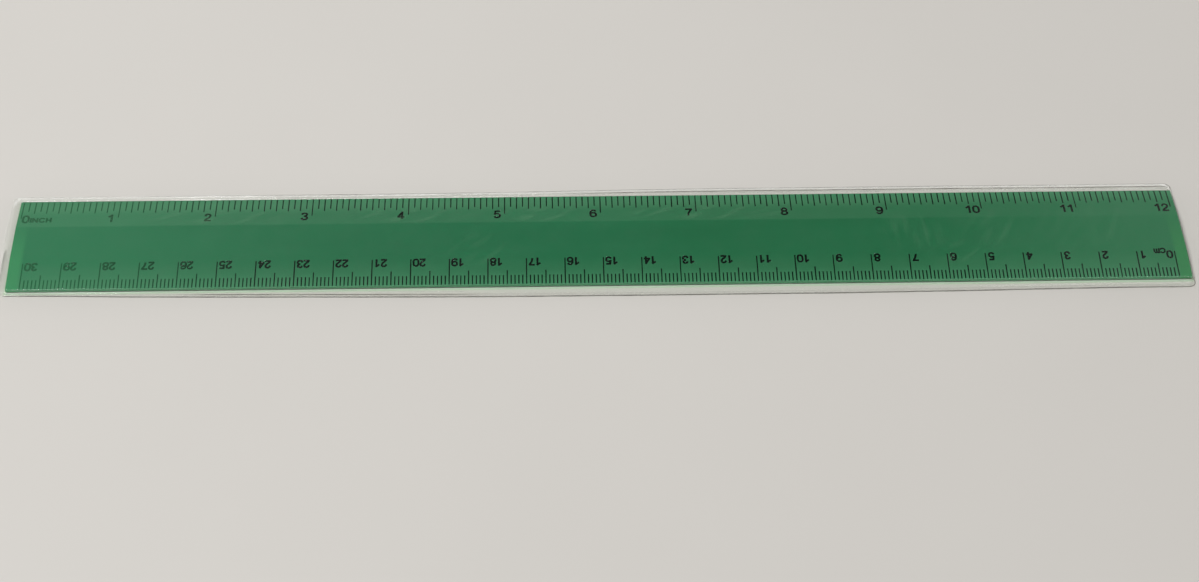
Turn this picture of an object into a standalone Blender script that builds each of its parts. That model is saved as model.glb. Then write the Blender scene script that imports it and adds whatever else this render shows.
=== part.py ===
"""A 30 cm and 12 inch plastic ruler in a clear film sleeve.

The blade is one moulding with a bevel along each long edge. Its graduations are shallow stamped
recesses: inches along the far edge, read from the left end, and centimetres along the near edge,
read from the right end. The sleeve is two clear films welded together along both long sides and
the right end. Its left end is open, and the ruler slides out there.

Metres, +Z up. The origin is the middle of the sleeve's underside, X runs along the ruler.
"""

import math

import bmesh
import bpy
from mathutils import Matrix

# Blade
BLADE_LENGTH = 0.307
BLADE_WIDTH = 0.030
CENTRE_THICKNESS = 0.0019
EDGE_THICKNESS = 0.0010
BEVEL_WIDTH = 0.0096

# Graduations
INCH = 0.0254
INCH_PARTS = 16
CENTIMETRE = 0.010
CENTIMETRE_PARTS = 10
INCH_ZERO_INSET = 0.0009
CENTIMETRE_ZERO_INSET = 0.0034
LAST_MARK_INSET = 0.0003
MARK_START = 0.0004
MARK_WIDTH = 0.00022
MARK_DEPTH = 0.00005
INCH_MARK_END = 0.0064
EIGHTH_MARK_END = 0.0046
SIXTEENTH_MARK_END = 0.0038
CENTIMETRE_MARK_END = 0.0081
HALF_CENTIMETRE_MARK_END = 0.0044
MILLIMETRE_MARK_END = 0.0029

# Sleeve
FILM_THICKNESS = 0.00015
FILM_CLEARANCE = 0.0002
SIDE_MARGIN = 0.0034
SIDE_WELD_WIDTH = 0.0010
MOUTH_MARGIN = 0.0026
CLOSED_MARGIN = 0.0010
END_WELD_WIDTH = 0.0005
CORNER_RADIUS = 0.0018
CORNER_SEGMENTS = 6

# How far a cutter reaches past what it cuts
OVERRUN = 0.0004

# Places worked out from the sizes
HALF_LENGTH = BLADE_LENGTH / 2
HALF_WIDTH = BLADE_WIDTH / 2
FLAT_HALF_WIDTH = HALF_WIDTH - BEVEL_WIDTH
BEVEL_RISE = CENTRE_THICKNESS - EDGE_THICKNESS
BEVEL_ANGLE = math.atan2(BEVEL_RISE, BEVEL_WIDTH)
BLADE_BASE = FILM_THICKNESS + FILM_CLEARANCE
SLEEVE_HALF_WIDTH = HALF_WIDTH + SIDE_MARGIN
SLEEVE_HALF_LENGTH = HALF_LENGTH + (MOUTH_MARGIN + CLOSED_MARGIN) / 2
BLADE_X = (MOUTH_MARGIN - CLOSED_MARGIN) / 2
SLEEVE_TOP = BLADE_BASE + CENTRE_THICKNESS + FILM_CLEARANCE + FILM_THICKNESS


def clear_scene():
    for obj in list(bpy.data.objects):
        bpy.data.objects.remove(obj, do_unlink=True)


def plastic(name, colour, roughness, alpha=1.0):
    """A Principled material. The colour is linear."""
    material = bpy.data.materials.new(name)
    material.use_nodes = True
    shader = material.node_tree.nodes["Principled BSDF"]
    shader.inputs["Base Color"].default_value = (*colour, 1.0)
    shader.inputs["Roughness"].default_value = roughness
    shader.inputs["Metallic"].default_value = 0.0
    shader.inputs["Alpha"].default_value = alpha
    material.diffuse_color = (*colour, alpha)
    return material


def object_from(bm, name, material=None):
    """Turns a finished bmesh into an object in the scene."""
    bmesh.ops.recalc_face_normals(bm, faces=bm.faces)
    mesh = bpy.data.meshes.new(name)
    bm.to_mesh(mesh)
    bm.free()
    if material:
        mesh.materials.append(material)
    obj = bpy.data.objects.new(name, mesh)
    bpy.context.scene.collection.objects.link(obj)
    return obj


def as_cutter(obj):
    obj.hide_render = True
    obj.display_type = "WIRE"
    return obj


def cut(obj, cutter, operation="DIFFERENCE"):
    boolean = obj.modifiers.new(cutter.name, "BOOLEAN")
    boolean.operation = operation
    boolean.solver = "EXACT"
    boolean.object = cutter


def extrude_outline(bm, points, step):
    """Makes a face of the points and extrudes it by the step, as one closed solid."""
    face = bm.faces.new([bm.verts.new(point) for point in points])
    side = bmesh.ops.extrude_face_region(bm, geom=[face], use_keep_orig=True)
    moved = [part for part in side["geom"] if isinstance(part, bmesh.types.BMVert)]
    bmesh.ops.translate(bm, verts=moved, vec=step)


def cut_lengthwise(bm, spacing):
    """Adds a ring of edges at each spacing, so that no face is much longer than it is wide."""
    for number in range(1, int(BLADE_LENGTH / spacing)):
        bmesh.ops.bisect_plane(
            bm,
            geom=bm.verts[:] + bm.edges[:] + bm.faces[:],
            plane_co=(number * spacing - HALF_LENGTH, 0, 0),
            plane_no=(1, 0, 0),
        )


def make_blade(material):
    """The moulding: flat underside, upright edges, a bevel up from each and a flat middle."""
    section = [
        (-HALF_WIDTH, 0),
        (HALF_WIDTH, 0),
        (HALF_WIDTH, EDGE_THICKNESS),
        (FLAT_HALF_WIDTH, CENTRE_THICKNESS),
        (-FLAT_HALF_WIDTH, CENTRE_THICKNESS),
        (-HALF_WIDTH, EDGE_THICKNESS),
    ]
    bm = bmesh.new()
    extrude_outline(bm, [(-HALF_LENGTH, y, z) for y, z in section], (BLADE_LENGTH, 0, 0))
    cut_lengthwise(bm, CENTIMETRE)
    blade = object_from(bm, "ruler_blade", material)
    blade.location = (BLADE_X, 0, BLADE_BASE)
    return blade


def add_mark(bm, x, end):
    """A bar across a bevel that lies flat at the origin: X along the ruler, Y in from the edge."""
    size = (MARK_WIDTH, end - MARK_START, MARK_DEPTH + OVERRUN)
    middle = (x, (end + MARK_START) / 2, (OVERRUN - MARK_DEPTH) / 2)
    placed = Matrix.LocRotScale(middle, None, size)
    bmesh.ops.create_cube(bm, size=1, matrix=placed)


def make_scale(name, zero_inset, unit, parts, end_of):
    """Cutter for one scale, made on a flat bevel and then tilted and seated on the near one.

    It is in the blade's own frame, with its zero at the right end, as the near scale's is.
    end_of gives how far in from the edge a mark ends.
    """
    units = int((BLADE_LENGTH - zero_inset - LAST_MARK_INSET) / unit)
    bm = bmesh.new()
    for number in range(units * parts + 1):
        add_mark(bm, HALF_LENGTH - zero_inset - number * unit / parts, end_of(number))
    tilt = Matrix.Rotation(BEVEL_ANGLE, 4, "X")
    seat = Matrix.Translation((0, -HALF_WIDTH, EDGE_THICKNESS))
    bmesh.ops.transform(bm, matrix=seat @ tilt, verts=bm.verts)
    return as_cutter(object_from(bm, name))


def centimetre_mark_end(number):
    if number % CENTIMETRE_PARTS == 0:
        return CENTIMETRE_MARK_END
    half = number % (CENTIMETRE_PARTS // 2) == 0
    return HALF_CENTIMETRE_MARK_END if half else MILLIMETRE_MARK_END


def inch_mark_end(number):
    if number % INCH_PARTS == 0:
        return INCH_MARK_END
    return EIGHTH_MARK_END if number % 2 == 0 else SIXTEENTH_MARK_END


def stamp_scales(blade):
    """Both scales are recesses in the blade. The inch scale is turned to face the far edge."""
    near = make_scale(
        "centimetre_marks", CENTIMETRE_ZERO_INSET, CENTIMETRE, CENTIMETRE_PARTS, centimetre_mark_end
    )
    far = make_scale("inch_marks", INCH_ZERO_INSET, INCH, INCH_PARTS, inch_mark_end)
    far.data.transform(Matrix.Rotation(math.pi, 4, "Z"))
    for marks in (near, far):
        marks.parent = blade
        cut(blade, marks)


def sleeve_outline(bottom, top):
    """The trimmed outline of the welded films as a plate with round corners."""
    x, y = SLEEVE_HALF_LENGTH, SLEEVE_HALF_WIDTH
    bm = bmesh.new()
    corners = [(-x, -y, bottom), (x, -y, bottom), (x, y, bottom), (-x, y, bottom)]
    extrude_outline(bm, corners, (0, 0, top - bottom))
    upright = [edge for edge in bm.edges if edge.verts[0].co.xy == edge.verts[1].co.xy]
    bmesh.ops.bevel(
        bm,
        geom=upright,
        offset=CORNER_RADIUS,
        segments=CORNER_SEGMENTS,
        profile=0.5,
        affect="EDGES",
        material=-1,
    )
    return bm


def make_back_film(material):
    return object_from(sleeve_outline(0, FILM_THICKNESS), "sleeve_back_film", material)


def front_film_section():
    """Underside of the front film across the sleeve, as (y, z) from the near side to the far one.

    The film lies on the back film at the weld, rises to the blade's edge and follows the blade.
    """
    over_edge = BLADE_BASE + EDGE_THICKNESS + FILM_CLEARANCE
    over_middle = BLADE_BASE + CENTRE_THICKNESS + FILM_CLEARANCE
    half = [
        (SLEEVE_HALF_WIDTH + OVERRUN, FILM_THICKNESS),
        (SLEEVE_HALF_WIDTH - SIDE_WELD_WIDTH, FILM_THICKNESS),
        (HALF_WIDTH + FILM_CLEARANCE, over_edge),
        (FLAT_HALF_WIDTH, over_middle),
    ]
    return [(-y, z) for y, z in half] + half[::-1]


def extrude_line(bm, edges, x):
    """Extrudes a line of edges along the ruler to x, and gives the new points and edges."""
    made = bmesh.ops.extrude_edge_only(bm, edges=edges)["geom"]
    points = [part for part in made if isinstance(part, bmesh.types.BMVert)]
    for point in points:
        point.co.x = x
    return points, [part for part in made if isinstance(part, bmesh.types.BMEdge)]


def make_front_film(material):
    """The film over the blade. It comes down to the end weld just past the blade's right end."""
    bm = bmesh.new()
    mouth = [bm.verts.new((-SLEEVE_HALF_LENGTH - OVERRUN, y, z)) for y, z in front_film_section()]
    line = [bm.edges.new(pair) for pair in zip(mouth, mouth[1:])]
    _, line = extrude_line(bm, line, BLADE_X + HALF_LENGTH + FILM_CLEARANCE)
    foot, line = extrude_line(bm, line, SLEEVE_HALF_LENGTH - END_WELD_WIDTH)
    for point in foot:
        point.co.z = FILM_THICKNESS
    extrude_line(bm, line, SLEEVE_HALF_LENGTH + OVERRUN)
    film = object_from(bm, "sleeve_front_film", material)
    if film.data.polygons[0].normal.z < 0:
        film.data.flip_normals()
    shell = film.modifiers.new("film_thickness", "SOLIDIFY")
    shell.thickness = FILM_THICKNESS
    shell.offset = 1.0
    shell.use_even_offset = True
    trim = object_from(sleeve_outline(-OVERRUN, SLEEVE_TOP + OVERRUN), "sleeve_trim")
    cut(film, as_cutter(trim), "INTERSECT")
    return film


def main():
    clear_scene()
    green = plastic("moulded_green_polystyrene", (0.040, 0.180, 0.080), 0.15)
    clear = plastic("clear_sleeve_film", (0.92, 0.93, 0.92), 0.08, alpha=0.25)
    blade = make_blade(green)
    stamp_scales(blade)
    sleeve = bpy.data.objects.new("sleeve", None)
    bpy.context.scene.collection.objects.link(sleeve)
    for film in (make_back_film(clear), make_front_film(clear)):
        film.parent = sleeve


main()
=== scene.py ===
"""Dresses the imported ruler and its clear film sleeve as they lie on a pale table.

The blade is a translucent green moulding with black foil graduations and numerals. It lies in a
sleeve of two thin clear films, sealed along both long sides and the right end. Metres, as the
CAD model: X runs along the ruler, the centimetre edge is the near one, and Z is up.
"""

import math

import bmesh
import bpy
from mathutils import Matrix, Vector, noise


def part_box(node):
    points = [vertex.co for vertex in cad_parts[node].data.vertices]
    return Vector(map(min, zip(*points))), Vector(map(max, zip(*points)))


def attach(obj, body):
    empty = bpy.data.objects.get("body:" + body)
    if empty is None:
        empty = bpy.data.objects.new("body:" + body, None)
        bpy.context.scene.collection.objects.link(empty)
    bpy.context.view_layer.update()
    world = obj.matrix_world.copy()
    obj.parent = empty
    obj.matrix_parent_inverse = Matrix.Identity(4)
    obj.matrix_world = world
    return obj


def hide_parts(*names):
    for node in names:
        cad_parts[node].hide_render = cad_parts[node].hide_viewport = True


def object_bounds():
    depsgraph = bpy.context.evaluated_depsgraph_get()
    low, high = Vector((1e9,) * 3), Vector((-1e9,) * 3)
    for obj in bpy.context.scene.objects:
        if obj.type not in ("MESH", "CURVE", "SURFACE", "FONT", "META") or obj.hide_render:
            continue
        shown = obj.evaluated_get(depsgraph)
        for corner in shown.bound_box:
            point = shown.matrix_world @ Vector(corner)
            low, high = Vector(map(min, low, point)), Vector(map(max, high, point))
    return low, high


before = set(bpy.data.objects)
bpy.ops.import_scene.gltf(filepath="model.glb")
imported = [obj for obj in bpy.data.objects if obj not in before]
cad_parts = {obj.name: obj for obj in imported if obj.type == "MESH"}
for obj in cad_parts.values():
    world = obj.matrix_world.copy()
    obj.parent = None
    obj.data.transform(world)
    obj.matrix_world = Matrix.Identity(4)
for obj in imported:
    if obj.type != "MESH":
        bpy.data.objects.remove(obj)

MM = 0.001
CAD_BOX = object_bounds()
BLADE_LOW, BLADE_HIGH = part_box("ruler_blade")
BACK_LOW, BACK_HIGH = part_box("sleeve_back_film")

# Blade, with the sizes that its box doesn't give
EDGE_THICKNESS = 1.0 * MM
BEVEL_WIDTH = 9.6 * MM
BLADE_ROUNDING = 0.12 * MM
CREASE_ROUNDING = 0.6 * MM
HALF_LENGTH = (BLADE_HIGH.x - BLADE_LOW.x) / 2
HALF_WIDTH = (BLADE_HIGH.y - BLADE_LOW.y) / 2
BLADE_X = (BLADE_HIGH.x + BLADE_LOW.x) / 2
BLADE_BASE = BLADE_LOW.z
CENTRE_THICKNESS = BLADE_HIGH.z - BLADE_LOW.z
FLAT_HALF_WIDTH = HALF_WIDTH - BEVEL_WIDTH
BEVEL_ANGLE = math.atan2(CENTRE_THICKNESS - EDGE_THICKNESS, BEVEL_WIDTH)

# Graduations
INCH = 25.4 * MM
INCH_PARTS = 16
CENTIMETRE = 10 * MM
CENTIMETRE_PARTS = 10
INCHES = 12
CENTIMETRES = 30
INCH_ZERO_INSET = 0.9 * MM
CENTIMETRE_ZERO_INSET = 3.4 * MM
# The lines start nearer the edge and are wider than the solids' recesses, to look like the photo's.
MARK_START = 0.14 * MM
INCH_MARK_WIDTH = 0.28 * MM
CENTIMETRE_MARK_WIDTH = 0.31 * MM
INCH_MARK_END = 6.4 * MM
EIGHTH_MARK_END = 4.6 * MM
SIXTEENTH_MARK_END = 3.8 * MM
CENTIMETRE_MARK_END = 8.1 * MM
HALF_CENTIMETRE_MARK_END = 4.4 * MM
MILLIMETRE_MARK_END = 2.9 * MM
# How uneven stamping leaves their ends and, as a share, their width.
MARK_START_SPREAD = 0.06 * MM
MARK_END_SPREAD = 0.05 * MM
MARK_WIDTH_SPREAD_SHARE = 0.15
FOIL_THICKNESS = 0.02 * MM
FOIL_SUNK = 0.002 * MM

# Numerals. Sizes are across the bevel, and places are measured in from the edge of the blade.
INCH_DIGIT_HEIGHT = 2.8 * MM
INCH_DIGIT_BASE = 8.05 * MM
INCH_DIGIT_PITCH = 2.0 * MM
CENTIMETRE_DIGIT_HEIGHT = 2.4 * MM
CENTIMETRE_DIGIT_BASE = 8.25 * MM
CENTIMETRE_DIGIT_PITCH = 1.72 * MM
DIGIT_WIDTH_SHARE = 0.66
PEN_SHARE = 0.1
PEN_LEAST = 0.36 * MM
PEN_OVERRUN_SHARE = 0.6

# Films. They are thinner than the solids' 0.15 mm.
FILM_THICKNESS = 0.09 * MM
FILM_GAP = 0.05 * MM
FILM_LEAST_GAP = 0.03 * MM
SLEEVE_HALF_LENGTH = (BACK_HIGH.x - BACK_LOW.x) / 2
# The films stop a little short of the solids' ends, so that their thickness stays inside them.
FILM_HALF_LENGTH = SLEEVE_HALF_LENGTH - 0.2 * MM
SLEEVE_HALF_WIDTH = (BACK_HIGH.y - BACK_LOW.y) / 2
CORNER_RADIUS = 1.8 * MM

# How far each cut edge of the films is drawn in, and between which places along the ruler it grows.
# The far edge draws in towards the mouth. The near one does too, and a little towards both ends.
FAR_DRAW, FAR_DRAW_SPAN = 0.8 * MM, (-60 * MM, 45 * MM)
NEAR_DRAW, NEAR_DRAW_SPAN = 1.6 * MM, (-165 * MM, -5 * MM)
NEAR_CLOSED_DRAW, NEAR_CLOSED_SPAN = 0.7 * MM, (60 * MM, 145 * MM)
NEAR_MOUTH_DRAW, NEAR_MOUTH_SPAN = 0.45 * MM, (-150 * MM, -112 * MM)
NEAR_TRIM = 0.1 * MM
EDGE_WAVER = 0.05 * MM

# The fold beside the blade: where the front film leaves the blade's edge and comes down.
PRESSED_SPANS = ((-112 * MM, -95 * MM), (-42 * MM, -25 * MM))
STANDS_OUT_SPANS = ((-95 * MM, -75 * MM), (-35 * MM, -15 * MM))
FOLD_START = 0.02 * MM
STANDS_OUT = 0.8 * MM
FAR_FOLD_REACH = 2.3 * MM
NEAR_FOLD_REACH = 1.7 * MM
PRESSED_IN = 0.6 * MM
NEAR_RIM = 0.5 * MM
FAR_FOOT_WAVE = 0.3 * MM
NEAR_FOOT_WAVE = 0.12 * MM

# The seals: inset from the cut edge, pen radius, and half height when pressed flat.
EDGE_BEAD_INSET = 0.10 * MM
WELD_LINE_INSET = 0.95 * MM
SEAL_RADIUS = 0.11 * MM
SEAL_HALF_HEIGHT = 0.06 * MM

# Painted light on blade and foil: places across from its middle line or along from its middle, and
# strengths.
THIN_EDGE_INSETS = (5.0 * MM, 0.2 * MM)
END_STRIP_INSETS = (3.9 * MM, 2.4 * MM)
END_STRIP_ACROSS = (9 * MM, -7 * MM)
TOWARDS_END_FROM = 70 * MM
LEFT_SPAN = (40 * MM, -20 * MM)
BEVEL_CREASE_REACH = 0.3 * MM
FAR_BEVEL_LIFT = 0.035
FAR_EDGE_SPAN, FAR_EDGE_LIFT = (9 * MM, 14 * MM), 0.085
NEAR_BEVEL_SPAN, NEAR_BEVEL_LIFT = (-6 * MM, -11 * MM), 0.03
NOT_RIGHT_SPAN, RIGHT_SHARE = (60 * MM, 125 * MM), 0.15
FOIL_HAZE_SPAN, FOIL_HAZE_MOST = (-75 * MM, -155 * MM), 0.6

# Share of red, green and blue that one face of a film passes.
FILM_PASSES = (0.996, 1.0, 0.995, 1.0)
BEAD_PASSES = (0.60, 0.59, 0.57, 1.0)

# Camera, worked out from the marks, edges and ends seen in the photo.
CAMERA_PLACE = (BLADE_X - 17.65 * MM, -357.04 * MM, 422.74 * MM)
CAMERA_AZIMUTH, CAMERA_ELEVATION, CAMERA_ROLL = (math.radians(a) for a in (2.777, 51.114, 1.4876))
FOCAL_PIXELS = 2102.5
PHOTO_WIDTH_PIXELS = 1199
SENSOR_WIDTH = 36.0

# Lamps: name, place, side of the square panel and watts. The two large ones are high at the left
# and the right, where neither the photo's view nor one from above sees them mirrored in the film.
PANELS = [
    ("left_panel", (-0.65, 0.05, 1.3), 0.5, 12.5),
    ("right_panel", (0.75, 0.05, 1.6), 0.6, 3.6),
    ("far_panel", (-0.2, 1.50, 0.32), 0.34, 2.0),
]


def linear(code):
    """Linear RGBA of an sRGB hex colour."""
    values = [int(code[i : i + 2], 16) / 255 for i in (1, 3, 5)]
    return (*[v / 12.92 if v <= 0.04045 else ((v + 0.055) / 1.055) ** 2.4 for v in values], 1.0)


def add(tree, kind, inputs=(), **settings):
    """Adds a node, sets its properties and fills its inputs with values or links."""
    node = tree.nodes.new("ShaderNode" + kind)
    for name, value in settings.items():
        setattr(node, name, value)
    for key, value in dict(inputs).items():
        if isinstance(value, bpy.types.NodeSocket):
            tree.links.new(value, node.inputs[key])
        else:
            node.inputs[key].default_value = value
    return node


def calc(tree, operation, first, second=0.0):
    """The result of a sum on two values or links."""
    return add(tree, "Math", {0: first, 1: second}, operation=operation).outputs[0]


def eased(tree, value, span, shares=(0.0, 1.0)):
    """Goes softly from the first share to the second as the value crosses the span."""
    limits = {"From Min": span[0], "From Max": span[1], "To Min": shares[0], "To Max": shares[1]}
    settings = {"interpolation_type": "SMOOTHSTEP"}
    return add(tree, "MapRange", {"Value": value, **limits}, **settings).outputs[0]


def mixed(tree, share, first, second):
    """A colour between two, which are hex codes or links."""
    first, second = (linear(c) if isinstance(c, str) else c for c in (first, second))
    return add(tree, "Mix", {"Factor": share, 6: first, 7: second}, data_type="RGBA").outputs[2]


def spotted(tree, place, scale, detail):
    """Noise in the material, in spots per metre."""
    inputs = {"Vector": place, "Scale": scale, "Detail": detail}
    return add(tree, "TexNoise", inputs).outputs["Fac"]


def new_material(name):
    material = bpy.data.materials.new(name)
    material.use_nodes = True
    tree = material.node_tree
    tree.nodes.clear()
    return material, tree


def finish_material(tree, surface):
    add(tree, "OutputMaterial", {"Surface": surface})


def smooth_step(value, start, end):
    t = min(max((value - start) / (end - start), 0.0), 1.0)
    return t * t * (3 - 2 * t)


def ramp(value, start, end, rounding=0.045):
    """From 0 to 1, straight but for a short rounding at each end."""
    t = min(max((value - start) / (end - start), 0.0), 1.0)
    if t < rounding:
        return t * t / (2 * rounding * (1 - rounding))
    if t > 1 - rounding:
        return 1 - (1 - t) ** 2 / (2 * rounding * (1 - rounding))
    return (t - rounding / 2) / (1 - rounding)


def between(x, spans):
    """1 from the end of the first span to the start of the second, and 0 outside them."""
    return smooth_step(x, *spans[0]) * (1 - smooth_step(x, *spans[1]))


def traced(curve):
    """The mesh of a curve, as a bmesh. The curve's own object is removed again."""
    pen = bpy.data.objects.new(curve.name, curve)
    bpy.context.scene.collection.objects.link(pen)
    evaluated = pen.evaluated_get(bpy.context.evaluated_depsgraph_get())
    mesh = bpy.data.meshes.new_from_object(evaluated)
    bpy.data.objects.remove(pen)
    bm = bmesh.new()
    bm.from_mesh(mesh)
    bpy.data.meshes.remove(mesh)
    return bm


def piece(bm, name, material, body, smooth=False):
    """Turns a finished bmesh into a piece of the object that rides on a CAD body."""
    bmesh.ops.recalc_face_normals(bm, faces=bm.faces)
    mesh = bpy.data.meshes.new(name)
    bm.to_mesh(mesh)
    bm.free()
    mesh.materials.append(material)
    if smooth:
        mesh.shade_smooth()
        mesh.set_sharp_from_angle(angle=math.radians(40))
    obj = bpy.data.objects.new(name, mesh)
    bpy.context.scene.collection.objects.link(obj)
    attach(obj, body)
    return obj


# Materials


def moulded_polystyrene():
    """Dyed polystyrene, injection moulded: deep green and glossy. Painted light makes it paler
    where thin.
    """
    material, tree = new_material("dyed_polystyrene_moulded")
    place = add(tree, "TexCoord").outputs["Object"]
    axes = add(tree, "SeparateXYZ", {0: place})
    y = axes.outputs["Y"]
    from_middle = calc(tree, "SUBTRACT", axes.outputs["X"], BLADE_X)
    along = calc(tree, "ABSOLUTE", from_middle)
    across = calc(tree, "ABSOLUTE", y)
    # Painted light: paler along the thin long edges and in a strip at each end, mostly its near
    # half, for light passing through the plastic.
    painted_paling = eased(tree, across, [HALF_WIDTH - inset for inset in THIN_EDGE_INSETS])
    end = eased(tree, along, [HALF_LENGTH - inset for inset in END_STRIP_INSETS])
    end = calc(tree, "MULTIPLY", end, eased(tree, y, END_STRIP_ACROSS, (0.1, 0.9)))
    towards_end = eased(tree, along, (TOWARDS_END_FROM, HALF_LENGTH))
    left = eased(tree, from_middle, LEFT_SPAN)
    # Slow streaks along the blade, as the melt flowed, a few centimetres long.
    stretched = add(tree, "Mapping", {"Vector": place, "Scale": (25.0, 160.0, 160.0)}).outputs[0]
    flow = spotted(tree, stretched, 1.0, 3.0)
    core = mixed(tree, flow, "#266D47", "#2B754E")
    # Painted light: the blade is made paler towards the left and towards both ends.
    core = mixed(tree, left, core, mixed(tree, flow, "#266F4A", "#2B7851"))
    core = mixed(tree, towards_end, core, mixed(tree, left, "#2D7850", "#2E7D55"))
    # Painted light: the bevels are made paler, most the far one, as if lit from the edges.
    crease = (FLAT_HALF_WIDTH - BEVEL_CREASE_REACH, FLAT_HALF_WIDTH + BEVEL_CREASE_REACH)
    far_bevel = eased(tree, y, crease, (0.0, FAR_BEVEL_LIFT))
    far_edge = eased(tree, y, FAR_EDGE_SPAN, (0.0, FAR_EDGE_LIFT))
    not_right = eased(tree, from_middle, NOT_RIGHT_SPAN, (1.0, RIGHT_SHARE))
    near_bevel = eased(tree, y, NEAR_BEVEL_SPAN, (0.0, NEAR_BEVEL_LIFT))
    far = calc(tree, "MULTIPLY", calc(tree, "ADD", far_bevel, far_edge), not_right)
    core = mixed(tree, calc(tree, "ADD", far, near_bevel), core, "#B4E4BC")
    # The painted light of the thin edges and end strips is laid on here.
    edged = mixed(tree, painted_paling, core, "#458962")
    colour = mixed(tree, end, edged, mixed(tree, left, "#388652", "#3E9260"))
    # Moulded gloss is never quite even: patches of 2 mm differ a little in roughness and height.
    patches = spotted(tree, place, 500.0, 2.0)
    rough = {"Value": patches, "To Min": 0.07, "To Max": 0.13}
    roughness = add(tree, "MapRange", rough).outputs[0]
    uneven = {"Height": patches, "Strength": 0.25, "Distance": 0.004 * MM}
    bump = add(tree, "Bump", uneven).outputs[0]
    looks = {"Base Color": colour, "Roughness": roughness, "IOR": 1.58, "Normal": bump}
    finish_material(tree, add(tree, "BsdfPrincipled", looks).outputs[0])
    return material


def stamped_foil():
    """Hot-stamping foil: flat black and satin, painted greener towards the left end as a haze of
    reflection.
    """
    material, tree = new_material("hot_stamped_black_foil")
    place = add(tree, "TexCoord").outputs["Object"]
    colour = mixed(tree, spotted(tree, place, 900.0, 2.0), "#000F08", "#021C10")
    x = add(tree, "SeparateXYZ", {0: place}).outputs["X"]
    # Painted reflection: the foil turns greener towards the left end, as if hazed by reflected
    # light.
    painted_paling = eased(tree, x, FOIL_HAZE_SPAN, (0.0, FOIL_HAZE_MOST))
    colour = mixed(tree, painted_paling, colour, "#2B7B4F")
    looks = {"Base Color": colour, "Roughness": 0.12, "IOR": 1.5, "Specular IOR Level": 0.2}
    finish_material(tree, add(tree, "BsdfPrincipled", looks).outputs[0])
    return material


# Painted sheen where the front film clings to the blade: middle x and y, reach along and across,
# the turn in degrees and pitch of its streaks, and their strength. The pale streaks stand in for
# the film's reflections; they are painted on the film, so they stay with the sleeve when the ruler
# slides out.
CLING_SHEENS = [
    (83, 1, 12, 8, -8, 2.0, 0.022),
    (104, 2, 12, 8, 28, 2.4, 0.022),
    (94, -6, 10, 5, 48, 2.0, 0.022),
    (-31, -4, 12, 7, 44, 2.2, 0.02),
    (-50, 8.2, 20, 3.2, 66, 2.0, 0.06),
    (-16, 8.2, 18, 3.2, 66, 2.0, 0.06),
    (28, 8.2, 28, 3.2, 68, 2.2, 0.06),
    (132, 3, 13, 9, 20, 2.8, 0.015),
    (-100, 8.2, 26, 3.2, 70, 2.4, 0.06),
]


def streaks(tree, place, middle_x, middle_y, along, across, turn, pitch, strength):
    """A fan of painted sheen streaks in the film about one place, all in millimetres, from 0 to the
    strength.
    """
    middle = (middle_x * MM, middle_y * MM, 0.0)
    from_middle = add(tree, "VectorMath", {0: place, 1: middle}, operation="SUBTRACT").outputs[0]
    shares = (1 / (along * MM), 1 / (across * MM), 0.0)
    share = add(tree, "VectorMath", {0: from_middle, 1: shares}, operation="MULTIPLY").outputs[0]
    away = add(tree, "VectorMath", {0: share}, operation="LENGTH").outputs["Value"]
    near = eased(tree, away, (0.35, 1.0), (strength, 0.0))
    turning = {"Vector": from_middle, "Rotation": (0.0, 0.0, math.radians(turn))}
    turned = add(tree, "Mapping", turning).outputs[0]
    drawing = {0: turned, 1: (1 / (pitch * MM), 0.16 / (pitch * MM), 0.0)}
    drawn = add(tree, "VectorMath", drawing, operation="MULTIPLY").outputs[0]
    fine = {"Vector": drawn, "Scale": 1.0, "Detail": 2.0, "Distortion": 0.3}
    lines = add(tree, "TexNoise", fine).outputs["Fac"]
    crisp = add(tree, "MapRange", {"Value": lines, "From Min": 0.46, "From Max": 0.72}).outputs[0]
    return calc(tree, "MULTIPLY", crisp, near)


def lit_by_edge(tree, place):
    """Painted light on the back film, just outside where the blade lies at rest: a wide green tinge
    all round and a thin bright line along the sides, for green light leaking from the blade's
    edges.

    Both are painted, and stay with the sleeve when the ruler slides out.
    """
    axes = add(tree, "SeparateXYZ", {0: place})
    along = calc(tree, "ABSOLUTE", calc(tree, "SUBTRACT", axes.outputs["X"], BLADE_X))
    past_end = calc(tree, "SUBTRACT", along, HALF_LENGTH)
    past_side = calc(tree, "SUBTRACT", calc(tree, "ABSOLUTE", axes.outputs["Y"]), HALF_WIDTH)
    past = calc(tree, "MAXIMUM", past_end, past_side)
    tinge = eased(tree, past, (0.2 * MM, 1.0 * MM), (1.0, 0.0))
    line = eased(tree, past_side, (0.25 * MM, 0.45 * MM), (0.6, 0.0))
    outside = calc(tree, "GREATER_THAN", past, -0.1 * MM)
    beside = calc(tree, "MULTIPLY", calc(tree, "LESS_THAN", past_end, 0.0), outside)
    return calc(tree, "MULTIPLY", tinge, outside), calc(tree, "MULTIPLY", line, beside)


def gloss_kept(tree, place):
    """Share of its gloss that the front film keeps. It is low past the blade's near edge, so that
    the fold there doesn't mirror a lamp as a white band, which the photo doesn't show."""
    y = add(tree, "SeparateXYZ", {0: place}).outputs["Y"]
    return eased(tree, y, (-HALF_WIDTH - 0.2 * MM, -HALF_WIDTH + 0.5 * MM), (0.25, 1.0))


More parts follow.
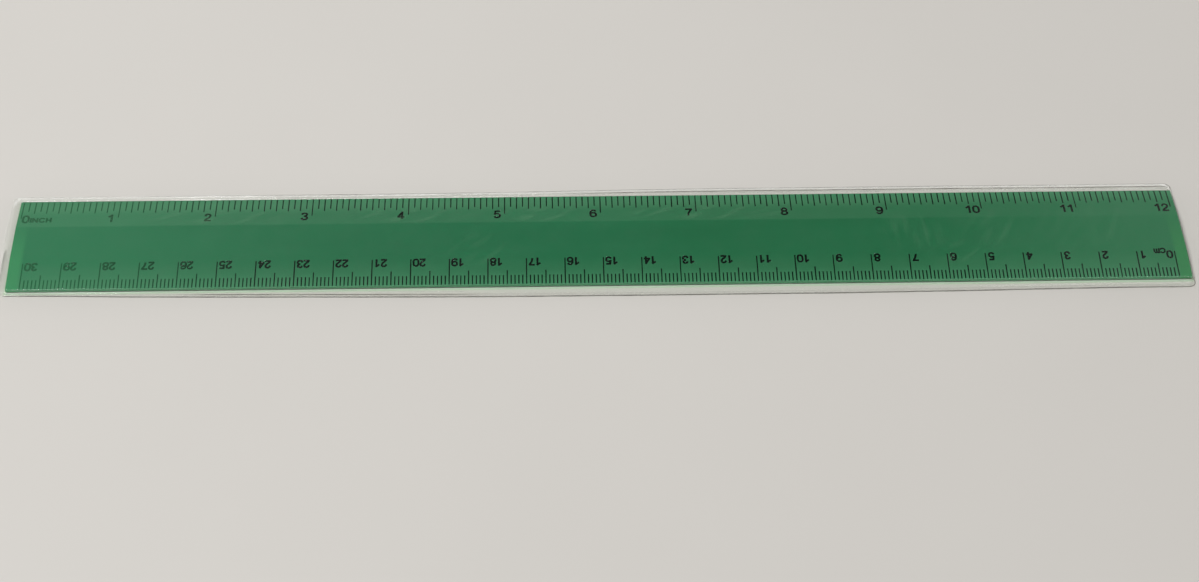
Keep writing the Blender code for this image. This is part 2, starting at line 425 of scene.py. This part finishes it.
def clear_film(name, tint, roughness, mirror, place_in_sleeve=None):
    """Clear polypropylene, cast: a face mirrors a little, more at a slant, and passes the rest."""
    material, tree = new_material(name)
    place = add(tree, "TexCoord").outputs["Object"]
    slant = add(tree, "LayerWeight", {"Blend": 0.5}).outputs["Facing"]
    steep = {"Value": calc(tree, "POWER", slant, 5.0), "To Min": mirror, "To Max": 1.0}
    mirrored = add(tree, "MapRange", steep).outputs[0]
    # Handling leaves faint hazy patches a few millimetres across.
    patches = spotted(tree, place, 220.0, 3.0)
    hazy = {"Value": patches, "From Min": 0.4, "From Max": 0.8, "To Max": 0.004}
    haze = add(tree, "MapRange", hazy).outputs[0]
    # Painted light from the blade's edges tints what the back film passes.
    if place_in_sleeve == "back":
        tinge, line = lit_by_edge(tree, place)
        tint = mixed(tree, tinge, tint, "#F7FFF7")
    clear = add(tree, "BsdfTransparent", {"Color": tint})
    gloss = add(tree, "BsdfGlossy", {"Color": linear("#FFFFFF"), "Roughness": roughness})
    dust = add(tree, "BsdfDiffuse", {"Color": linear("#E9E9E6")})
    body = add(tree, "MixShader", {0: haze, 1: clear.outputs[0], 2: dust.outputs[0]})
    if place_in_sleeve == "front":
        total = 0.0
        for cling in CLING_SHEENS:
            total = calc(tree, "ADD", streaks(tree, place, *cling), total)
        # Painted sheen: pale green streaks where the film clings to the blade.
        cling_sheen = add(tree, "BsdfDiffuse", {"Color": linear("#A9DCB4")})
        body = add(tree, "MixShader", {0: total, 1: body.outputs[0], 2: cling_sheen.outputs[0]})
        mirrored = calc(tree, "MULTIPLY", mirrored, gloss_kept(tree, place))
    if place_in_sleeve == "back":
        # Painted light: a thin bright line beside the blade's long sides.
        lit = add(tree, "BsdfDiffuse", {"Color": linear("#F0FFF0")})
        body = add(tree, "MixShader", {0: line, 1: body.outputs[0], 2: lit.outputs[0]})
    surface = add(tree, "MixShader", {0: mirrored, 1: body.outputs[0], 2: gloss.outputs[0]})
    finish_material(tree, surface.outputs[0])
    return material


def table_top():
    """Pale laminate, satin: warm grey with faint cloudy mottling a few centimetres across."""
    material, tree = new_material("pale_laminate")
    place = add(tree, "TexCoord").outputs["Object"]
    colour = mixed(tree, spotted(tree, place, 14.0, 4.0), "#CDCAC5", "#D1CEC9")
    surface = add(tree, "BsdfPrincipled", {"Base Color": colour, "Roughness": 0.55})
    finish_material(tree, surface.outputs[0])
    return material


# Blade


def make_blade(material):
    """The moulding: a flat underside, upright edges, a bevel up from each and a flat middle."""
    section = [
        (-HALF_WIDTH, 0),
        (HALF_WIDTH, 0),
        (HALF_WIDTH, EDGE_THICKNESS),
        (FLAT_HALF_WIDTH, CENTRE_THICKNESS),
        (-FLAT_HALF_WIDTH, CENTRE_THICKNESS),
        (-HALF_WIDTH, EDGE_THICKNESS),
    ]
    bm = bmesh.new()
    corners = [bm.verts.new((BLADE_LOW.x, y, BLADE_BASE + z)) for y, z in section]
    end = bm.faces.new(corners)
    made = bmesh.ops.extrude_face_region(bm, geom=[end], use_keep_orig=True)["geom"]
    moved = [part for part in made if isinstance(part, bmesh.types.BMVert)]
    bmesh.ops.translate(bm, verts=moved, vec=(2 * HALF_LENGTH, 0, 0))
    bmesh.ops.recalc_face_normals(bm, faces=bm.faces)
    soft = [e for e in bm.edges if e.calc_face_angle(0) < 2 * BEVEL_ANGLE]
    round_edges(bm, soft, CREASE_ROUNDING, 4)
    sharp = [e for e in bm.edges if e.calc_face_angle(0) > math.radians(40)]
    round_edges(bm, sharp, BLADE_ROUNDING, 3)
    blade = piece(bm, "ruler_moulding", material, "ruler", smooth=True)
    # The broad faces keep their flat shading right up to the rounded edges.
    flat = blade.modifiers.new("flat_faces", "WEIGHTED_NORMAL")
    flat.mode = "FACE_AREA"
    flat.keep_sharp = True
    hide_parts("ruler_blade")
    return blade


def round_edges(bm, edges, offset, segments):
    bmesh.ops.bevel(
        bm,
        geom=edges,
        offset=offset,
        segments=segments,
        profile=0.5,
        affect="EDGES",
        clamp_overlap=True,
        material=-1,
    )


# Graduations and numerals are laid out flat on the near bevel, with X to the right and Y in from
# the edge, then tilted and seated. The inch scale is turned to face the far edge.


def seat(bm):
    """Tilts what lies flat at the origin and seats it on the near bevel."""
    tilt = Matrix.Rotation(BEVEL_ANGLE, 4, "X")
    place = Matrix.Translation((BLADE_X, -HALF_WIDTH, BLADE_BASE + EDGE_THICKNESS - FOIL_SUNK))
    bmesh.ops.transform(bm, matrix=place @ tilt, verts=bm.verts)


def turn_round(bm):
    """Half a turn about the blade's middle, from the near bevel to the far one."""
    middle = Matrix.Translation((BLADE_X, 0, 0))
    turn = middle @ Matrix.Rotation(math.pi, 4, "Z") @ middle.inverted()
    bmesh.ops.transform(bm, matrix=turn, verts=bm.verts)


def inch_mark_end(number):
    if number % INCH_PARTS == 0:
        return INCH_MARK_END
    return EIGHTH_MARK_END if number % 2 == 0 else SIXTEENTH_MARK_END


def centimetre_mark_end(number):
    if number % CENTIMETRE_PARTS == 0:
        return CENTIMETRE_MARK_END
    half = number % (CENTIMETRE_PARTS // 2) == 0
    return HALF_CENTIMETRE_MARK_END if half else MILLIMETRE_MARK_END


def make_marks(name, zero_inset, unit, parts, count, end_of, width, material):
    """One scale's lines, its zero at the right end. Stamping leaves them a touch uneven."""
    bm = bmesh.new()
    for number in range(count * parts + 1):
        uneven = noise.noise((number * 0.73, zero_inset / MM, 0.5))
        start = MARK_START + MARK_START_SPREAD * uneven
        end = end_of(number) + MARK_END_SPREAD * uneven
        wide = width * (1 + MARK_WIDTH_SPREAD_SHARE * uneven)
        size = (wide, end - start, FOIL_THICKNESS)
        middle = (HALF_LENGTH - zero_inset - number * unit / parts, (start + end) / 2, 0)
        bmesh.ops.create_cube(bm, size=1, matrix=Matrix.LocRotScale(middle, None, size))
    seat(bm)
    if name == "inch_lines":
        turn_round(bm)
    return piece(bm, name, material, "ruler")


# Each character is drawn with a round pen in a cell 1 high. A stroke is its kind and its points:
# round ones curve smoothly through them, straight ones turn sharply, and rings close on themselves.
STROKES = {
    "0": [
        ("ring", [
            (0.07, 0.5), (0.16, 0.87), (0.33, 0.93), (0.5, 0.87), (0.59, 0.5), (0.5, 0.13),
            (0.33, 0.07), (0.16, 0.13),
        ]),
    ],
    "1": [
        ("straight", [(0.16, 0.72), (0.42, 0.93), (0.42, 0.07)]),
    ],
    "2": [
        ("round", [
            (0.09, 0.66), (0.16, 0.86), (0.33, 0.93), (0.51, 0.86), (0.56, 0.68), (0.46, 0.48),
            (0.2, 0.25), (0.09, 0.07),
        ]),
        ("straight", [(0.09, 0.07), (0.58, 0.07)]),
    ],
    "3": [
        ("round", [
            (0.09, 0.72), (0.16, 0.88), (0.33, 0.93), (0.5, 0.87), (0.54, 0.73), (0.46, 0.58),
            (0.28, 0.53),
        ]),
        ("round", [
            (0.28, 0.53), (0.49, 0.46), (0.58, 0.29), (0.5, 0.12), (0.32, 0.07), (0.14, 0.12),
            (0.07, 0.29),
        ]),
    ],
    "4": [
        ("straight", [(0.44, 0.07), (0.44, 0.93), (0.07, 0.29), (0.6, 0.29)]),
    ],
    "5": [
        ("straight", [(0.54, 0.93), (0.17, 0.93), (0.12, 0.5)]),
        ("round", [
            (0.12, 0.5), (0.22, 0.58), (0.36, 0.6), (0.52, 0.52), (0.58, 0.33), (0.51, 0.14),
            (0.33, 0.07), (0.15, 0.12), (0.07, 0.25),
        ]),
    ],
    "6": [
        ("round", [
            (0.57, 0.74), (0.5, 0.89), (0.35, 0.93), (0.17, 0.86), (0.08, 0.62), (0.07, 0.36),
        ]),
        ("ring", [
            (0.07, 0.33), (0.16, 0.52), (0.34, 0.59), (0.52, 0.52), (0.59, 0.33), (0.52, 0.13),
            (0.33, 0.07), (0.15, 0.13),
        ]),
    ],
    "7": [
        ("straight", [(0.07, 0.93), (0.59, 0.93)]),
        ("round", [(0.59, 0.93), (0.42, 0.66), (0.3, 0.38), (0.25, 0.07)]),
    ],
    "8": [
        ("ring", [
            (0.11, 0.73), (0.18, 0.88), (0.33, 0.93), (0.48, 0.88), (0.55, 0.73), (0.48, 0.59),
            (0.33, 0.54), (0.18, 0.59),
        ]),
        ("ring", [
            (0.07, 0.29), (0.16, 0.47), (0.33, 0.53), (0.5, 0.47), (0.59, 0.29), (0.51, 0.12),
            (0.33, 0.07), (0.15, 0.12),
        ]),
    ],
    "9": [
        ("round", [
            (0.09, 0.26), (0.16, 0.11), (0.31, 0.07), (0.49, 0.14), (0.58, 0.38), (0.59, 0.64),
        ]),
        ("ring", [
            (0.59, 0.67), (0.5, 0.48), (0.32, 0.41), (0.14, 0.48), (0.07, 0.67), (0.14, 0.87),
            (0.33, 0.93), (0.51, 0.87),
        ]),
    ],
    "I": [
        ("straight", [(0.12, 0.07), (0.12, 0.93)]),
    ],
    "N": [
        ("straight", [(0.09, 0.07), (0.09, 0.93), (0.77, 0.07), (0.77, 0.93)]),
    ],
    "C": [
        ("round", [
            (0.85, 0.7), (0.72, 0.88), (0.47, 0.93), (0.18, 0.82), (0.08, 0.5), (0.18, 0.18),
            (0.47, 0.07), (0.73, 0.13), (0.85, 0.32),
        ]),
    ],
    "H": [
        ("straight", [(0.1, 0.07), (0.1, 0.93)]),
        ("straight", [(0.76, 0.07), (0.76, 0.93)]),
        ("straight", [(0.1, 0.5), (0.76, 0.5)]),
    ],
    "c": [
        ("round", [
            (0.86, 0.7), (0.72, 0.88), (0.48, 0.93), (0.18, 0.82), (0.08, 0.5), (0.18, 0.18),
            (0.47, 0.07), (0.73, 0.13), (0.86, 0.32),
        ]),
    ],
    "m": [
        ("straight", [(0.1, 0.07), (0.1, 0.93)]),
        ("round", [(0.1, 0.7), (0.22, 0.9), (0.38, 0.92), (0.5, 0.76), (0.51, 0.07)]),
        ("round", [(0.51, 0.7), (0.63, 0.9), (0.8, 0.92), (0.91, 0.76), (0.92, 0.07)]),
    ],
}


def draw_strokes(placed):
    """A flat mesh of pen strokes. placed holds (character, left x, base y, height)."""
    curve = bpy.data.curves.new("pen", "CURVE")
    curve.dimensions = "3D"
    curve.resolution_u = 3
    curve.bevel_depth = 1.0
    curve.bevel_resolution = 1
    curve.use_fill_caps = True
    for character, left, base, height in placed:
        radius = (PEN_LEAST + PEN_SHARE * height) / 2
        for kind, points in STROKES[character]:
            points = [Vector((left + x * height, base + y * height, 0)) for x, y in points]
            strokes = zip(points, points[1:]) if kind == "straight" else [points]
            for stroke in strokes:
                if kind == "straight":
                    reach = (stroke[1] - stroke[0]).normalized() * radius * PEN_OVERRUN_SHARE
                    stroke = [stroke[0] - reach, stroke[1] + reach]
                add_stroke(curve, kind, stroke, radius)
    bm = traced(curve)
    flatten(bm)
    return bm


def add_stroke(curve, kind, stroke, radius):
    spline = curve.splines.new("BEZIER")
    spline.bezier_points.add(len(stroke) - 1)
    spline.use_cyclic_u = kind == "ring"
    handle = "VECTOR" if kind == "straight" else "AUTO"
    for point, place in zip(spline.bezier_points, stroke):
        point.co = place
        point.handle_left_type = point.handle_right_type = handle
        point.radius = radius


def flatten(bm):
    """Presses the round pen strokes to the foil's thickness."""
    highest = max(abs(v.co.z) for v in bm.verts)
    bmesh.ops.scale(bm, vec=(1, 1, FOIL_THICKNESS / 2 / highest), verts=bm.verts)


def numeral(text, centre, base, height, pitch):
    """Places for a number's digits, centred on an x."""
    left = centre - (pitch * len(text) + DIGIT_WIDTH_SHARE * height - pitch) / 2
    return [(digit, left + pitch * i, base, height) for i, digit in enumerate(text)]


def inch_numerals(material):
    """The far bevel's numbers stand left of their lines, its zero and unit word right of theirs."""
    zero = -HALF_LENGTH + INCH_ZERO_INSET
    base = -INCH_DIGIT_BASE
    placed = [("0", zero + 0.35 * MM, base, INCH_DIGIT_HEIGHT)]
    for number in range(1, INCHES + 1):
        offset = 1.95 * MM if number < 10 else 2.5 * MM
        centre = zero + number * INCH - offset
        placed += numeral(str(number), centre, base, INCH_DIGIT_HEIGHT, INCH_DIGIT_PITCH)
    left = zero + 2.45 * MM
    for letter, width in (("I", 0.62), ("N", 1.72), ("C", 1.82), ("H", 1.5)):
        placed.append((letter, left, base + 0.15 * MM, 1.65 * MM))
        left += width * MM
    bm = draw_strokes(placed)
    # As read, the far edge is up: turn it to lie on the near bevel, then round to the far one.
    bmesh.ops.rotate(bm, cent=(0, 0, 0), matrix=Matrix.Rotation(math.pi, 3, "Z"), verts=bm.verts)
    seat(bm)
    turn_round(bm)
    return piece(bm, "inch_numerals", material, "ruler")


def centimetre_numerals(material):
    """The near bevel's numbers, upside down from the near side, with the zero at the right end."""
    zero = -HALF_LENGTH + CENTIMETRE_ZERO_INSET
    base = -CENTIMETRE_DIGIT_BASE
    placed = [("0", zero + 0.6 * MM, base, CENTIMETRE_DIGIT_HEIGHT)]
    for number in range(1, CENTIMETRES + 1):
        offset = 1.57 * MM if number < 10 else 2.2 * MM
        centre = zero + number * CENTIMETRE - offset
        size = (CENTIMETRE_DIGIT_HEIGHT, CENTIMETRE_DIGIT_PITCH)
        placed += numeral(str(number), centre, base, *size)
    left = zero + 2.35 * MM
    for letter, width in (("c", 1.5), ("m", 1.6)):
        placed.append((letter, left, base - 0.75 * MM, 1.5 * MM))
        left += width * MM
    bm = draw_strokes(placed)
    bmesh.ops.rotate(bm, cent=(0, 0, 0), matrix=Matrix.Rotation(math.pi, 3, "Z"), verts=bm.verts)
    seat(bm)
    return piece(bm, "centimetre_numerals", material, "ruler")


# Films


def edge_at(x, side):
    """How far out the films' cut edge is at x. Side is 1 for the far edge, -1 for the near one."""
    if side > 0:
        drawn_in = FAR_DRAW * (1 - smooth_step(x, *FAR_DRAW_SPAN))
    else:
        drawn_in = NEAR_DRAW * (1 - smooth_step(x, *NEAR_DRAW_SPAN))
        drawn_in += NEAR_CLOSED_DRAW * smooth_step(x, *NEAR_CLOSED_SPAN) + NEAR_TRIM
        drawn_in += NEAR_MOUTH_DRAW * (1 - smooth_step(x, *NEAR_MOUTH_SPAN))
    drawn_in += EDGE_WAVER * (1 + noise.noise((x / MM / 22, side * 4.0, 3.3)))
    inward = CORNER_RADIUS - (FILM_HALF_LENGTH - abs(x))
    if inward > 0:
        drawn_in += CORNER_RADIUS - math.sqrt(max(CORNER_RADIUS**2 - inward**2, 0))
    return SLEEVE_HALF_WIDTH - drawn_in


# Packets of fine wrinkles in the front film, in millimetres: middle x and y, reach along and
# across, lean, pitch and height.
WRINKLES = [
    (-52, -6, 14, 5, 1.6, 6.0, 0.01),
    (60, 8, 30, 5, 1.4, 9.0, 0.03),
    (-10, 8, 45, 5, 1.5, 11.0, 0.035),
    (-95, 7, 40, 5, 1.6, 13.0, 0.035),
    (125, 2, 12, 9, 0.7, 5.0, 0.012),
]


def wrinkle(x, y):
    """Height of the fine wrinkles at a place, all in millimetres."""
    height = 0.0
    for middle_x, middle_y, reach_x, reach_y, lean, pitch, tall in WRINKLES:
        dx, dy = x - middle_x, y - middle_y
        fade = math.exp(-((dx / reach_x) ** 2) - (dy / reach_y) ** 2)
        if fade > 0.01:
            bent = dx - lean * dy + 0.03 * dy * dy + 1.2 * noise.noise((x / 9, y / 6, 2.5))
            height += tall * fade * math.cos(2 * math.pi * bent / pitch)
    return height


def film_gap(x, y):
    """How far the front film stands off the blade, in metres."""
    mx, my = x / MM, y / MM
    slow = 0.05 * (1 + noise.noise((mx / 26, my / 11, 0.3)))
    medium = 0.035 * noise.noise(((mx - 1.4 * my) / 12, my / 9, 4.1))
    gap = FILM_GAP + (slow + medium + wrinkle(mx, my)) * MM
    return max(gap, FILM_LEAST_GAP)


def blade_top(y):
    """Height of the blade's top face above the table."""
    inward = min(max(HALF_WIDTH - abs(y), 0), BEVEL_WIDTH)
    return BLADE_BASE + EDGE_THICKNESS + inward * math.tan(BEVEL_ANGLE)


def pressed_down(x):
    """From 0 to 1: along one stretch of the near side the films are pressed together."""
    return between(x, PRESSED_SPANS)


def fold_start(x, y):
    """How far past the blade the front film runs on before it folds down: more at one stretch."""
    return FOLD_START + (STANDS_OUT * between(x, STANDS_OUT_SPANS) if y > 0 else 0.0)


def fold_reach(x, y):
    """How far past the blade the front film comes down on the back one."""
    if y > 0:
        return FAR_FOLD_REACH
    reach = NEAR_FOLD_REACH - PRESSED_IN * pressed_down(x)
    return min(reach, edge_at(x, -1) - HALF_WIDTH - NEAR_RIM)


def fold_foot(x, side):
    """Where across the sleeve the front film meets the back one, waving a little."""
    wave = noise.noise((x / MM / 14, side * 5.0, 1.7))
    height = FAR_FOOT_WAVE if side > 0 else NEAR_FOOT_WAVE
    return HALF_WIDTH + fold_reach(x, side) + height * wave


# Rows of points in each half of the front film: over the blade, down the fold and on to the edge.
ROWS_OVER = 28
ROWS_DOWN = 14
ROWS_BEYOND = 7


def across(row, x):
    """Place across the sleeve of a row of points, counted from the middle. They crowd at folds."""
    side = -1 if row < 0 else 1
    number = abs(row)
    crease = HALF_WIDTH + fold_start(x, side)
    if number <= ROWS_OVER:
        return side * crease * (1 - (1 - number / ROWS_OVER) ** 1.6)
    foot = fold_foot(x, side)
    number -= ROWS_OVER
    if number <= ROWS_DOWN:
        return side * (crease + (foot - crease) * smooth_step(number, 0, ROWS_DOWN))
    return side * (foot + (edge_at(x, side) - foot) * (number - ROWS_DOWN) / ROWS_BEYOND)


def weld_strength(x, y):
    """The weld shows as a line on the far side and the end, and where the near side is pressed."""
    if y > -HALF_WIDTH:
        return 0.12 + 0.88 * smooth_step(x, -15 * MM, 12 * MM)
    return 0.12 + 0.88 * pressed_down(x)


def edge_strength(x, y):
    """The cut edge is melted round, more on the near side."""
    return 0.3 + 0.45 * smooth_step(x, -130 * MM, -70 * MM) if y > -HALF_WIDTH else 1.0


def film_underside(x, y):
    """Height of the front film's underside. It rests on the back film at the seals."""
    low = BACK_LOW.z + FILM_THICKNESS + 0.01 * MM
    high = blade_top(y) + film_gap(x, y)
    foot = fold_foot(x, math.copysign(1, y))
    down = ramp(abs(y), HALF_WIDTH + fold_start(x, y), foot)
    past_end = smooth_step(x, BLADE_HIGH.x + 0.05 * MM, BLADE_HIGH.x + 0.75 * MM)
    fall = 1 - (1 - down) * (1 - past_end)
    crinkle = 0.03 + 0.12 * smooth_step(x, 60 * MM, 100 * MM)
    crinkle *= MM * max(noise.noise(((x / MM - y / MM) / 4, y / MM / 3, 8.8)), 0)
    rim = edge_at(x, math.copysign(1, y))
    beyond = between(abs(y), ((foot, foot + 0.4 * MM), (rim - 0.5 * MM, rim)))
    return low + (high - low) * (1 - fall) + crinkle * beyond


def make_front_film(material):
    """The film over the ruler, in two walls. It hugs the blade and folds down to the back film."""
    bm = bmesh.new()
    half = ROWS_OVER + ROWS_DOWN + ROWS_BEYOND
    bmesh.ops.create_grid(bm, x_segments=420, y_segments=2 * half, size=1)
    for vert in bm.verts:
        x = vert.co.x * FILM_HALF_LENGTH
        y = across(round(vert.co.y * half), x)
        vert.co = (x, y, film_underside(x, y))
    film = piece(bm, "front_film", material, "sleeve", smooth=True)
    thicken(film)
    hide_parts("sleeve_front_film")
    return film


def make_back_film(material):
    """The film under the ruler lies flat on the table."""
    bm = bmesh.new()
    bmesh.ops.create_grid(bm, x_segments=220, y_segments=14, size=1)
    for vert in bm.verts:
        x = vert.co.x * FILM_HALF_LENGTH
        vert.co = (x, vert.co.y * edge_at(x, math.copysign(1, vert.co.y)), BACK_LOW.z)
    film = piece(bm, "back_film", material, "sleeve", smooth=True)
    thicken(film)
    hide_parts("sleeve_back_film")
    return film


def thicken(film):
    """Gives a film its thickness, upward from the wall that was modelled."""
    if film.data.polygons[0].normal.z < 0:
        film.data.flip_normals()
    shell = film.modifiers.new("film_thickness", "SOLIDIFY")
    shell.thickness = FILM_THICKNESS
    shell.offset = 1.0
    shell.use_even_offset = True


def seal_path(inset, left_end):
    """Points along both long sides and round the closed end, drawn in from the films' cut edge."""
    end = FILM_HALF_LENGTH - inset
    steps = 300
    side = [left_end + (end - left_end) * (1 - (1 - i / steps) ** 1.4) for i in range(steps + 1)]
    near = [(x, inset - edge_at(x, -1)) for x in side]
    far = [(x, edge_at(x, 1) - inset) for x in side]
    return near + far[::-1]


def make_seal(name, inset, strength, material):
    """A thin bead of melted film, laid along the seal and pressed flat."""
    points = seal_path(inset, -FILM_HALF_LENGTH + 1.9 * MM)
    curve = bpy.data.curves.new(name, "CURVE")
    curve.dimensions = "3D"
    curve.bevel_depth = SEAL_RADIUS
    curve.bevel_resolution = 1
    curve.use_fill_caps = True
    spline = curve.splines.new("POLY")
    spline.points.add(len(points) - 1)
    for point, (x, y) in zip(spline.points, points):
        point.co = (x, y, 0, 1)
        uneven = 0.8 + 0.35 * noise.noise((x / MM / 5, y / MM, 9.9))
        point.radius = strength(x, y) * uneven
    bm = traced(curve)
    bmesh.ops.scale(bm, vec=(1, 1, SEAL_HALF_HEIGHT / SEAL_RADIUS), verts=bm.verts)
    lift = BACK_LOW.z + FILM_THICKNESS * 2 + 0.04 * MM
    bmesh.ops.translate(bm, vec=(0, 0, lift), verts=bm.verts)
    return piece(bm, name, material, "sleeve", smooth=True)


# Surroundings


def make_floor():
    bm = bmesh.new()
    bmesh.ops.create_grid(bm, x_segments=8, y_segments=8, size=3.0)
    bmesh.ops.translate(bm, vec=(0, 0, CAD_BOX[0].z - 0.01 * MM), verts=bm.verts)
    mesh = bpy.data.meshes.new("table")
    bm.to_mesh(mesh)
    bm.free()
    mesh.materials.append(table_top())
    table = bpy.data.objects.new("table", mesh)
    bpy.context.scene.collection.objects.link(table)


def make_panel(name, place, side, power):
    """A soft square light panel that faces the origin."""
    lamp = bpy.data.lights.new(name, "AREA")
    lamp.shape = "RECTANGLE"
    lamp.size = lamp.size_y = side
    lamp.energy = power
    obj = bpy.data.objects.new(name, lamp)
    obj.location = place
    obj.rotation_euler = (-Vector(place)).to_track_quat("-Z", "Y").to_euler()
    bpy.context.scene.collection.objects.link(obj)


def make_world():
    """A dim room: darker overhead at the far side, paler towards the horizon and the sides."""
    world = bpy.data.worlds.new("room")
    bpy.context.scene.world = world
    world.use_nodes = True
    tree = world.node_tree
    tree.nodes.clear()
    way = add(tree, "TexCoord").outputs["Generated"]
    axes = add(tree, "SeparateXYZ", {0: way})
    # Each is an axis of the view, a span along it and the brightness from one end to the other:
    # overhead, the left, the walls near the horizon, the right and behind the camera.
    total = 0.0
    for axis, span, shares in (
        ("Z", (0.60, 0.76), (0.07, 0.04)),
        ("X", (0.08, -0.22), (0.0, 0.14)),
        ("Z", (0.16, 0.42), (1.0, 0.0)),
        ("X", (0.17, 0.29), (0.0, 0.15)),
        ("Y", (0.2, -0.3), (0.0, 0.27)),
    ):
        total = calc(tree, "ADD", eased(tree, axes.outputs[axis], span, shares), total)
    room = add(tree, "Background", {"Color": linear("#FFFDFA"), "Strength": total})
    add(tree, "OutputWorld", {"Surface": room.outputs[0]})


def make_camera():
    """Stands where the photo was taken from."""
    azimuth, elevation, roll = CAMERA_AZIMUTH, CAMERA_ELEVATION, CAMERA_ROLL
    forward = Vector(
        (
            math.sin(azimuth) * math.cos(elevation),
            math.cos(azimuth) * math.cos(elevation),
            -math.sin(elevation),
        )
    )
    level = Vector((math.cos(azimuth), -math.sin(azimuth), 0))
    upward = level.cross(forward)
    right = level * math.cos(roll) + upward * math.sin(roll)
    up = upward * math.cos(roll) - level * math.sin(roll)
    data = bpy.data.cameras.new("camera")
    data.sensor_width = SENSOR_WIDTH
    data.lens = FOCAL_PIXELS / PHOTO_WIDTH_PIXELS * SENSOR_WIDTH
    data.clip_start = 0.01
    camera = bpy.data.objects.new("camera", data)
    camera.matrix_world = Matrix(
        (
            (right.x, up.x, -forward.x, CAMERA_PLACE[0]),
            (right.y, up.y, -forward.y, CAMERA_PLACE[1]),
            (right.z, up.z, -forward.z, CAMERA_PLACE[2]),
            (0, 0, 0, 1),
        )
    )
    bpy.context.scene.collection.objects.link(camera)
    bpy.context.scene.camera = camera


def main():
    scene = bpy.context.scene
    scene.view_settings.view_transform = "Standard"
    # Enough for a ray to pass both films and their beads.
    scene.cycles.transparent_max_bounces = 32
    make_camera()
    make_floor()
    make_world()
    for panel in PANELS:
        make_panel(*panel)
    green = moulded_polystyrene()
    foil = stamped_foil()
    film = clear_film("cast_polypropylene_film", FILM_PASSES, 0.05, 0.034, "front")
    lying = clear_film("film_lying_on_table", FILM_PASSES, 0.08, 0.012, "back")
    bead = clear_film("melted_film_bead", BEAD_PASSES, 0.12, 0.05)
    make_blade(green)
    inches = (INCH_ZERO_INSET, INCH, INCH_PARTS, INCHES, inch_mark_end, INCH_MARK_WIDTH)
    centimetres = (CENTIMETRE_ZERO_INSET, CENTIMETRE, CENTIMETRE_PARTS, CENTIMETRES)
    make_marks("inch_lines", *inches, foil)
    make_marks(
        "centimetre_lines", *centimetres, centimetre_mark_end, CENTIMETRE_MARK_WIDTH, foil
    )
    inch_numerals(foil)
    centimetre_numerals(foil)
    make_front_film(film)
    make_back_film(lying)
    make_seal("edge_bead", EDGE_BEAD_INSET, edge_strength, bead)
    make_seal("weld_line", WELD_LINE_INSET, weld_strength, bead)


main()
